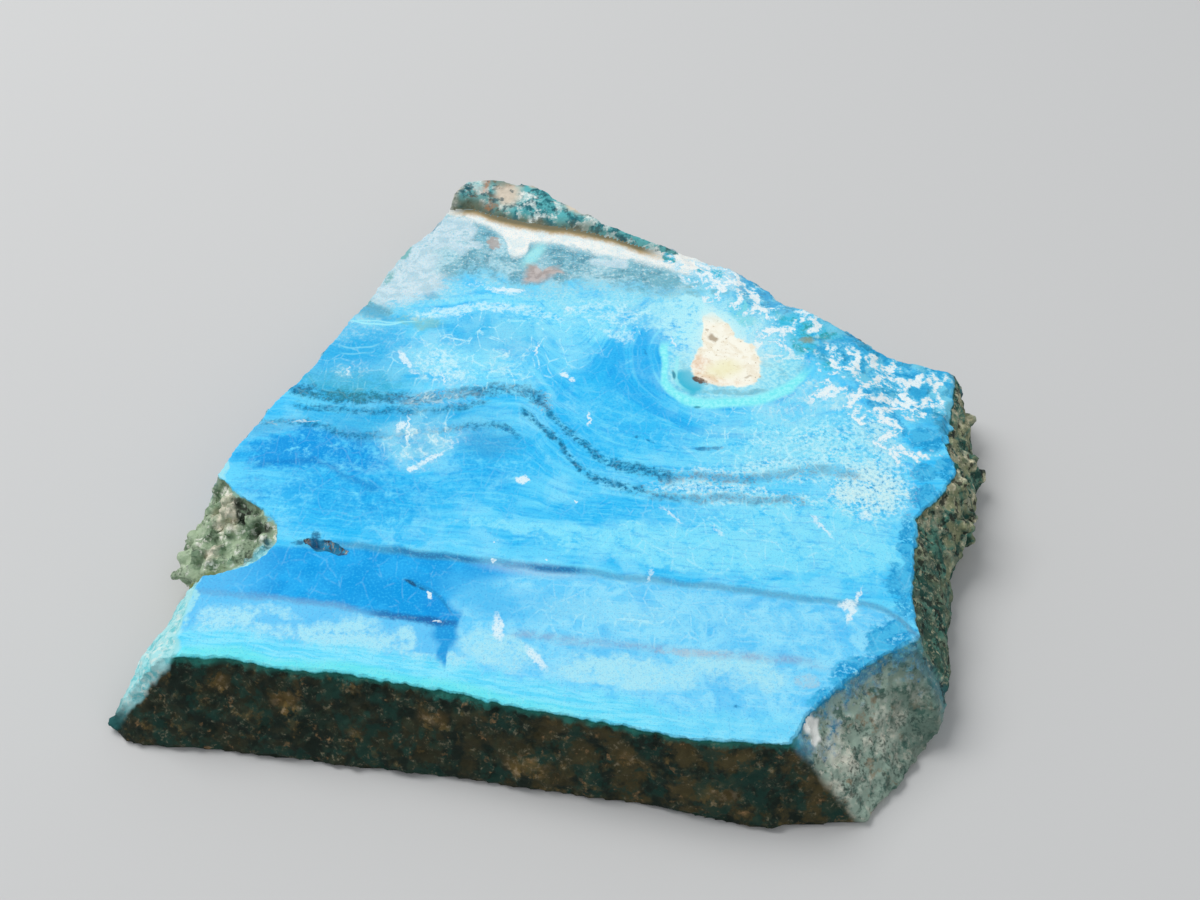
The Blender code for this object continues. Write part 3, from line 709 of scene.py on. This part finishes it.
ring_share = times(
    ease(calc("DIVIDE", calc("ABSOLUTE", ring_off), graph(round_turn, RING_WIDTH)), 1.45, 0.45),
    around_ring)
blue = layer(blue, layer("9CFAFE", "7CEEF6", ease(flecks, 0.36, 0.64)), ring_share)
second_ring = times(
    ease(calc("ABSOLUTE", calc("ADD", ring_off, 1.0)), 0.24, 0.06), ease(round_turn, 0.17, 0.09),
    ease(sy, 9.0, 5.5))
blue = layers(
    blue,
    ("9AF2F8", times(second_ring, 0.7)),
    ("1C7C96", patches(slight_bend, (7.5, 4.7, 0.12, 0.5, 0.8, 12), (9.2, 0.8, 0.24, 0.14, 0.7), soft=0.9)))
INCLUSION = [
    (10.9, 12.7), (12.2, 11.2), (12.9, 9.3), (14.2, 8.3), (14.5, 6.5), (14.4, 4.5), (13.9, 3.6),
    (12.8, 3.25), (11.2, 3.45), (10.2, 3.7), (9.5, 4.2), (9.0, 5.1), (8.9, 5.8), (9.3, 7.0), (10.0, 8.6),
    (10.1, 10.6), (10.3, 12.2)]
blue = layer(blue, "E6FBF6", times(shape((sx, sy), INCLUSION, 4.2), ease(sy, 5.0, 9.0, 0.5, 1.0), 0.9))
clay = layers(
    "FFFCEC",
    ("F4EAD2", ease(tufts, 0.44, 0.66, 0.0, 0.8)),
    ("E8BC98", worn(
        patches(
            fine_bend, (9.7, 5.9, 0.9, 1.1, 0.9), (10.4, 4.3, 1.2, 0.4, 0.7, -12),
            (12.4, 3.7, 1.8, 0.3, 0.4), soft=1.4),
        0.55, 0.05, 1.0)),
    ("F2ECB4", patch(fine_bend, 11.6, 5.4, 1.4, 0.9, 0.6, 20, soft=1.5)),
    ("BBA888", ease(calc("ADD", flecks, times(grain, 0.2)), 0.66, 0.78, 0.0, 0.7)),
    ("A89478", patches(
        fine_bend, (10.9, 9.35, 0.3, 0.5, 0.8, 8), (12.0, 9.2, 0.14, 0.14, 0.6),
        (10.4, 10.3, 0.16, 0.12, 0.6), (13.5, 4.5, 0.36, 0.14, 0.5, 10), soft=0.9)))
inclusion_share = ease(plus(shape((sx, sy), INCLUSION, 1.0), grain, 0.5), 0.25, 0.65)
blue = layers(
    blue,
    (clay, times(inclusion_share, ease(fy, 13.2, 10.6, 0.25, 1.0))),
    ("5C3A24", worn(patch(slight_bend, 9.65, 4.05, 0.7, 0.36, 1.0, -42, soft=1.4), 0.9, 0.2, 0.9)))

# The left edge is paler at both ends of the notch: painted highlight where the rim catches the light.
blue = layer(blue, "A6E8F0", worn(
    patches(
        fine_bend, (-27.2, -6.2, 0.5, 1.4, 0.9), (-27.0, -19.0, 0.35, 2.4, 0.8),
        (-27.4, -22.6, 0.4, 1.4, 0.8), soft=1.0),
    0.85))

# Brown stains in the grey clouds at the back, and fine bright arcs at the left edge.
BROWN_STAIN = [
    (-4.9, 19.4), (-4.2, 19.5), (-3.4, 18.7), (-2.6, 19.3), (-1.7, 18.1), (-2.7, 17.9), (-3.6, 17.0),
    (-4.1, 16.8), (-5.1, 16.9)]
blue = layers(
    blue,
    (layer("B09C94", "CDBDB6", ease(tufts, 0.4, 0.62)), times(shape((fx, fy), BROWN_STAIN, 1.0), 0.85)),
    ("B6A8A0", worn(
        patches(fine_bend, (-8.1, 22.8, 0.6, 0.9, 0.9, 10), (-7.6, 22.3, 0.4, 0.4, 0.6), soft=0.9), 0.8)),
    ("7CB8A8", worn(patch(wild_bend, -14.0, 11.4, 2.2, 0.7, 1.0, -14, soft=1.5), 0.45, 0.0, 1.1)),
    ("4C98B6", patches(
        fine_bend, (-17.8, 12.8, 1.6, 0.8, 0.5, -24), (-13.0, 15.0, 0.7, 0.4, 0.4), soft=1.1)),
    ("6FB4B4", worn(
        patches(
            fine_bend, (-15.9, 21.4, 0.6, 1.2, 0.8, -20), (-16.8, 17.8, 0.5, 1.2, 0.6, -20),
            (-18.6, 14.4, 0.5, 0.9, 0.8), soft=0.9),
        0.8)))
arcs = either(
    stripe(sx, sy, [(-20, 11.9), (-18.6, 11.3), (-16.8, 11.1), (-14.6, 11.5)], 0.12, 0.14),
    times(stripe(sx, sy, [(-19.8, 11.5), (-18.0, 11.6), (-16, 11.35), (-13.6, 11.4)], 0.08, 0.12), 0.8),
    times(stripe(sx, sy, [(-20.5, 8.6), (-19, 8.1), (-17.4, 8.2), (-16.4, 8.9)], 0.08, 0.14), 0.5),
    times(stripe(sx, sy, [(-20.2, 7.6), (-18.6, 7.3), (-17.2, 7.6)], 0.08, 0.14), 0.4))
blue = layer(blue, "A8F4FC", times(arcs, 0.85))

# Along the foot of the lip runs a gold-brown line that turns dark olive at the foot itself;
# the dark olive is painted shade cast by the lip.
from_lip = less(graph(sx, LIP_FOOT), sy)
along_lip = times(ease(fx, -12.8, -10.6), ease(fx, 8.0, 5.0))
gold_line_and_lip_shade = layer("B09460", "6A6038", ease(from_lip, 0.75, 0.15))
blue = layer(blue, gold_line_and_lip_shade, times(ease(plus(from_lip, grain, 0.5), 1.35, 0.4), along_lip, 0.92))

# At its rim the face turns down into the rock. turn_round runs from 0 to 1 round the slab, from
# the left side through the front, the right and the back. The two ends of the front lean with the
# height: at the left it runs out under the face's corner, at the right it goes on below the bevel.
NOTCH_START, CORNER_START, FRONT_START = 0.036, 0.086, 0.106
BEVEL_START, RIGHT_START, BACK_START = 0.333, 0.376, 0.532
BEVEL_TOP_START = BEVEL_START - 0.014


def side_between(start, end, blend=0.006):
    return times(ease(turn_round, start - blend, start + blend), ease(turn_round, end + blend, end - blend))


def front_share_of_side():
    from_left = plus(turn_round, pz, -0.0013)
    to_bevel = plus(turn_round, pz, 0.0022)
    return times(
        ease(from_left, FRONT_START - 0.0012, FRONT_START + 0.0006),
        ease(to_bevel, BEVEL_START + 0.002, BEVEL_START - 0.002))


_, turn_round = polar((fx, fy), 0.0, 0.0)
rim = layers(
    "2C86A8",
    ("5FB9C6", ease(tufts, 0.45, 0.6)),
    ("8CB09C", side_between(NOTCH_START, CORNER_START)),
    ("9ADDE2", side_between(CORNER_START, FRONT_START + 0.02)),
    (layer("2488B4", "5E8E8A", ease(tufts, 0.44, 0.6)), side_between(BEVEL_TOP_START, RIGHT_START)),
    (layer("26584E", "5D7A66", ease(tufts, 0.46, 0.6)), side_between(RIGHT_START, BACK_START)),
    ("17625A", front_share_of_side()))
chip_depth = either(*(patch(flat, cx, cy, r, r, soft=0.5) for cx, cy, r in CHIPS))
edge_height = calc("ADD", plus(pz, tufts, 0.16), chip_depth)
blue = layer(blue, rim, ease(edge_height, FACE_HEIGHT - 0.02, FACE_HEIGHT - 0.16))
PIT = (-18.2, -14.1)
# The pit: blue with brown and cream grains, and painted shade darkening it deeper down.
pit = layers(
    "3C9CC4",
    ("6E5244", ease(tufts, 0.5, 0.58, 0.0, 0.85)),
    ("1C5670", ease(pz, FACE_HEIGHT - 0.3, FACE_HEIGHT - 0.65, 0.0, 0.4)),
    ("C4BCA6", ease(flecks, 0.56, 0.68, 0.0, 0.8)))
in_pit = patch(flat, *PIT, 2.2, 1.1, 1.0, -14, soft=0.3)
blue = layers(
    blue,
    (pit, times(in_pit, ease(pz, FACE_HEIGHT - 0.01, FACE_HEIGHT - 0.1))),
    ("1C5C86", worn(
        patches(
            fine_bend, (-19.0, -13.3, 0.5, 0.8, 0.8, 8), (-17.2, -14.6, 0.5, 0.3, 0.8, -30),
            (-20.4, -13.7, 0.6, 0.3, 0.6), soft=1.0),
        0.8)))
tree.links.new(blue, surface.inputs["Base Color"])
tree.links.new(ease(mottle, 0.3, 0.7, 0.40, 0.54), surface.inputs["Roughness"])
surface.inputs["Specular IOR Level"].default_value = 0.06

# The broken sides and the lip: dark green and brown rock, with grains of all sizes.
rock, surface = begin("vein_rock")
px, py, pz, place, flat = millimetres()
fx, fy, fine_bend = bend((px, py), 1.4, 1.0)
_, turn_round = polar((fx, fy), 0.0, 0.0)


def rocky(seed, size, start, end, strength=1.0):
    """Patches of rock of about the given size; a narrower range makes them sharper."""
    noise = clouds(place, size, 4.0, 0.65, (seed, seed * 2, seed * 3), "3D")
    return ease(noise, start, end, 0.0, strength)


big_spots, mid_spots = rocky(0, 2.2, 0.44, 0.60), rocky(4, 1.0, 0.46, 0.60)
small_spots, fine_spots = rocky(7, 0.5, 0.48, 0.62), rocky(9, 0.24, 0.46, 0.62)
holes, stains = rocky(18, 0.8, 0.54, 0.62), rocky(12, 1.8, 0.50, 0.60)

# At the left and the back the blue bands are cut across, and stand upright on the side.
across_bands = put("CombineXYZ", {0: plus(fy, px, 0.3), 1: times(pz, 0.22), 2: px}).outputs[0]
band_noise = clouds(across_bands, 2.4, 4.0, 0.6, (5, 2, 0), "3D")
side = layers(
    "1F86B8",
    ("58BEDD", ease(band_noise, 0.4, 0.6)),
    ("A9DCE4", ease(band_noise, 0.56, 0.68, 0.0, 0.75)),
    ("12506E", ease(band_noise, 0.44, 0.34, 0.0, 0.7)),
    ("C9D8D0", times(big_spots, small_spots, 0.6)),
    ("6A5A42", times(stains, mid_spots, 0.7)),
    ("17464C", times(holes, 0.6)),
    ("BFD6D8", ease(fy, 8.0, 22.0, 0.0, 0.6)))
druse = layers(
    "AABE9E",
    ("70896C", big_spots),
    ("F2F2E6", times(mid_spots, small_spots, 0.95)),
    ("3F5240", times(stains, ease(fine_spots, 0.0, 1.0, 0.3, 0.8))),
    ("6A7432", patch(fine_bend, -27.3, -15.4, 1.7, 1.3, 0.8, soft=0.9)),
    ("E6DCC6", times(
        patches(
            fine_bend, (-26.6, -9.4, 0.8, 1.4, 0.8, 30), (-23.4, -15.4, 1.0, 0.9, 0.9),
            (-27.2, -12.4, 0.6, 1.0, 0.7), soft=0.9),
        ease(mid_spots, 0.0, 1.0, 0.5, 1.0))),
    # Near-black patches along the notch's inner wall, under the face's overhang: painted shade.
    ("23291F", times(
        patches(
            fine_bend, (-25.0, -9.8, 1.3, 0.5, 0.95, -38), (-23.5, -11.6, 0.9, 0.45, 0.95, -50),
            (-22.7, -13.6, 0.3, 1.0, 0.95, 20), (-24.4, -13.4, 0.3, 0.7, 0.7), soft=0.9),
        ease(small_spots, 1.0, 0.0, 0.4, 1.0))))
side = layer(side, druse, side_between(NOTCH_START, CORNER_START))
pale_rim = layers(
    "A8E2E4",
    ("74CAD0", mid_spots),
    ("E6F0E8", times(big_spots, small_spots, 0.7)),
    ("1D5A5A", ease(pz, 3.4, 1.0)))
side = layer(side, pale_rim, side_between(CORNER_START, FRONT_START + 0.02))
grey_rock = layer("9CB2A2", "557468", mid_spots)
veining = cracks(fine_bend, 1.5, 0.65, 3, 8, 0, (1, 0.7, 1), 30)
grey_rock = layers(
    grey_rock,
    ("E0E4D2", times(
        either(times(veining, big_spots), times(mid_spots, small_spots)), ease(pz, 0.5, 5.0, 0.5, 0.9))),
    ("9A8468", times(rocky(41, 1.2, 0.58, 0.68), 0.7)),
    ("EAE6D2", times(big_spots, small_spots, 0.8)),
    ("22362E", times(either(times(holes, small_spots), times(stains, fine_spots)), 0.75)),
    ("35594E", times(ease(plus(px, mid_spots, 2.0), 19.0, 24.0), 0.6)))
blue_height = plus(plus(pz, small_spots, 0.9), big_spots, 1.4)
grey_rock = layer(grey_rock, layer("1C80A8", "5CAAB8", fine_spots), ease(blue_height, 5.6, 7.8, 0.0, 0.9))
side = layer(side, grey_rock, side_between(BEVEL_TOP_START, RIGHT_START))
green_rock = layers(
    "1C4A40",
    ("4C8070", mid_spots),
    ("8F9470", times(big_spots, ease(py, -19.0, -9.0, 0.2, 0.95))),
    ("DDD6B6", times(stains, ease(small_spots, 0.0, 1.0, 0.4, 1.0), ease(py, -14.0, -8.0, 0.2, 1.0))),
    ("C9C3A0", times(small_spots, fine_spots, ease(pz, 1.0, 5.0, 0.2, 0.8))),
    ("0E1A15", times(holes, 0.85)))
side = layer(side, green_rock, side_between(RIGHT_START, BACK_START))
# The front face: dark green and brown rock with olive and tan blotches. Its colour is also kept darker as
# painted shade, since that face is turned away from the light.
dark_rock_and_shade = layers(
    "0C1E14",
    ("1A3226", mid_spots),
    ("4A4224", times(big_spots, ease(px, -18.0, 12.0, 0.25, 1.0))),
    ("0C3C32", times(stains, 0.7)),
    ("6E5C34", times(rocky(31, 1.4, 0.56, 0.68), ease(small_spots, 0.0, 1.0, 0.35, 1.0), 0.8)),
    ("94744E", times(rocky(36, 0.9, 0.6, 0.7), ease(fine_spots, 0.0, 1.0, 0.4, 1.0), 0.9)),
    ("A89C80", times(mid_spots, small_spots, fine_spots, 0.45)))
upright = put("CombineXYZ", {0: fx, 1: plus(pz, less(mid_spots, 0.5), 0.6)}).outputs[0]
blotches = patches(
    upright, (-24.4, 4.9, 0.7, 0.5, 0.8), (-20.0, 4.2, 0.9, 0.6, 0.9), (-15.0, 2.6, 0.5, 0.5, 0.6),
    (-9.6, 4.6, 0.9, 0.6, 0.6), (-3.4, 2.2, 1.3, 0.7, 0.8), (3.6, 4.0, 0.8, 0.5, 0.6),
    (9.4, 2.4, 1.2, 0.7, 0.7), soft=1.0)
dark_rock_and_shade = layers(
    dark_rock_and_shade,
    (layer("7C6432", "A48C68", small_spots), times(blotches, ease(mid_spots, 0.0, 1.0, 0.5, 0.9))),
    ("1C7468", ease(plus(pz, mid_spots, 0.3), 6.2, 6.9, 0.0, 0.85)))
side = layer(side, dark_rock_and_shade, front_share_of_side())
WHITE_CORNER = [(14.4, -28.7), (16.0, -28.8), (15.9, -29.9), (15.2, -30.4)]
side = layer(side, "F4F6F0", times(shape((fx, fy), WHITE_CORNER, 0.4), ease(pz, 4.4, 5.2), 0.95))
lip = layers(
    "58B4B8",
    ("1A6C76", mid_spots),
    ("E6F2EC", times(rocky(27, 1.3, 0.49, 0.6), ease(small_spots, 0.0, 1.0, 0.55, 1.0))),
    ("E4D2BC", patches(
        fine_bend, (-7.0, 28.9, 1.2, 1.3, 0.9), (-7.6, 32.0, 1.3, 0.9, 0.8), (-12.0, 30.2, 0.7, 2.0, 0.9),
        (-0.6, 27.2, 1.6, 0.9, 0.9, -40), (-4.6, 30.0, 0.6, 0.5, 0.7), soft=1.0)),
    ("8A6436", times(
        patches(
            fine_bend, (-7.8, 30.6, 1.2, 0.9, 1.0), (-9.4, 28.6, 1.4, 0.8, 0.6, -20),
            (-3.2, 30.2, 0.7, 0.6, 0.8, -30), soft=1.0),
        ease(mid_spots, 0.0, 1.0, 0.5, 1.0))),
    ("C07844", times(
        patches(
            fine_bend, (-10.8, 31.8, 0.7, 0.8, 0.9), (-9.2, 30.4, 0.4, 1.0, 0.7),
            (-8.6, 27.6, 0.6, 0.4, 0.8), soft=1.0),
        ease(small_spots, 0.0, 1.0, 0.5, 1.0))),
    ("0F4C58", times(holes, 0.7)))
from_lip = less(graph(fx, LIP_FOOT), fy)
# Dark olive low on the lip's slope, next to its foot: painted shade.
lip = layer(lip, "5E5A3C", times(
    ease(plus(from_lip, mid_spots, -0.5), -1.4, -0.1), ease(px, 4.0, -2.0, 0.3, 1.0), 0.85))
side = layer(side, lip, ease(pz, FACE_HEIGHT - 0.02, FACE_HEIGHT + 0.06))
tree.links.new(side, surface.inputs["Base Color"])
surface.inputs["Roughness"].default_value = 0.75
surface.inputs["Specular IOR Level"].default_value = 0.3
relief = clouds(place, 0.25, 3.0, 0.6, dimensions="3D")
bump = put("Bump", {"Height": relief, "Strength": 0.5, "Distance": 0.12 * MM})
tree.links.new(bump.outputs[0], surface.inputs["Normal"])

# The sawn base: blue bands again, duller and unpolished, inside a rim of the dark rock.
sawn, surface = begin("sawn_base")
px, py, pz, place, flat = millimetres()
fx, fy, fine_bend = bend((px, py), 1.4, 1.0)
depth = plus(fy, fx, 0.17)
banded = put("CombineXYZ", {0: times(fx, 0.16), 1: depth}).outputs[0]
base = layers(
    "4FA3C8",
    ("2F86B4", ease(clouds(banded, 1.6), 0.44, 0.6)),
    ("8DC4D6", ease(clouds(fine_bend, 2.6, 4.0), 0.5, 0.66, 0.0, 0.7)),
    ("245F7E", ease(clouds(banded, 0.4, 3.0, 0.6), 0.56, 0.7, 0.0, 0.6)),
    ("C9D6D2", ease(fy, 13.0, 20.0, 0.0, 0.7)))
host = layer("27352D", "4A4636", ease(clouds(flat, 1.2, 4.0, 0.65), 0.46, 0.6))
from_front = less(fy, graph(fx, FRONT_EDGE))
rim = either(
    ease(from_front, 1.6, 0.6), ease(plus(px, py, -0.28), 26.2, 27.8), ease(less(px, py), 46.0, 48.0))
tree.links.new(layer(base, host, rim), surface.inputs["Base Color"])
surface.inputs["Roughness"].default_value = 0.85
surface.inputs["Specular IOR Level"].default_value = 0.3

# Each triangle gets its finish from where it lies.
POLISHED, ROCK, SAWN = 0, 1, 2
middles = np.empty(len(mesh.polygons) * 3)
mesh.polygons.foreach_get("center", middles)
x, y, z = middles.reshape(-1, 3).T / MM
near_chip = np.max(
    [smooth_step(r * 1.25, r * 0.75, np.hypot(x - cx, y - cy)) for cx, cy, r in CHIPS], axis=0)
past_foot = np.where(x < LIP_END, y - np.interp(x, *zip(*LIP_FOOT)), -1)
finish_of = np.where(z + near_chip > FACE_HEIGHT - 0.26, POLISHED, ROCK)
finish_of[(past_foot > 0) & (z > FACE_HEIGHT + 0.05) | (past_foot > 0.6)] = ROCK
finish_of[(np.hypot((x - PIT[0]) / 2.6, (y - PIT[1]) / 1.4) < 1) & (z > 4.0)] = POLISHED
finish_of[z < 0.02] = SAWN
mesh.materials.clear()
for finish in (polished, rock, sawn):
    mesh.materials.append(finish)
mesh.polygons.foreach_set("material_index", finish_of.astype(np.int32))
mesh.update()

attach(stone, "root")
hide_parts("chrysocolla_slab")

# ---- The floor, the lights and the camera ----
# A pale matt floor, daylight from a window behind and to the left, and a weak fill in front.
# The camera looks down on the slab from the front.
FLOOR_SIZE = 4.0
FLOOR_GAP = 0.02 * MM
CAMERA_PLACE = (0.00148, -0.08702, 0.08709)
CAMERA_TILT = math.radians(46)
# Each lamp's place, its width and its power in watts.
LAMPS = {
    "window": ((-0.26, 0.16, 0.50), 0.35, 2.3),
    "fill": ((0.35, -0.35, 0.45), 0.40, 0.3),
}

bpy.ops.mesh.primitive_plane_add(size=FLOOR_SIZE, location=(0, 0, -FLOOR_GAP))
floor = bpy.context.object
floor.name = "floor"
paper = bpy.data.materials.new("pale_paper")
paper.use_nodes = True
paper_shader = paper.node_tree.nodes["Principled BSDF"]
paper_shader.inputs["Base Color"].default_value = (0.62, 0.62, 0.61, 1)
paper_shader.inputs["Roughness"].default_value = 0.9
floor.data.materials.append(paper)

scene = bpy.context.scene
scene.view_settings.view_transform = "Standard"
world = bpy.data.worlds.new("soft_room")
scene.world = world
world.use_nodes = True
sky = world.node_tree.nodes["Background"]
sky.inputs["Color"].default_value = (0.92, 0.95, 1.0, 1)
sky.inputs["Strength"].default_value = 0.44

for name, (spot, size, power) in LAMPS.items():
    bpy.ops.object.light_add(type="AREA", location=spot)
    lamp = bpy.context.object
    lamp.name = name
    lamp.data.size = size
    lamp.data.energy = power
    lamp.rotation_euler = (-Vector(spot)).to_track_quat("-Z", "Y").to_euler()

bpy.ops.object.camera_add(location=CAMERA_PLACE, rotation=(CAMERA_TILT, 0, 0))
camera = bpy.context.object
camera.data.lens = 45
camera.data.sensor_width = 36
camera.data.clip_start = 0.005
scene.camera = camera
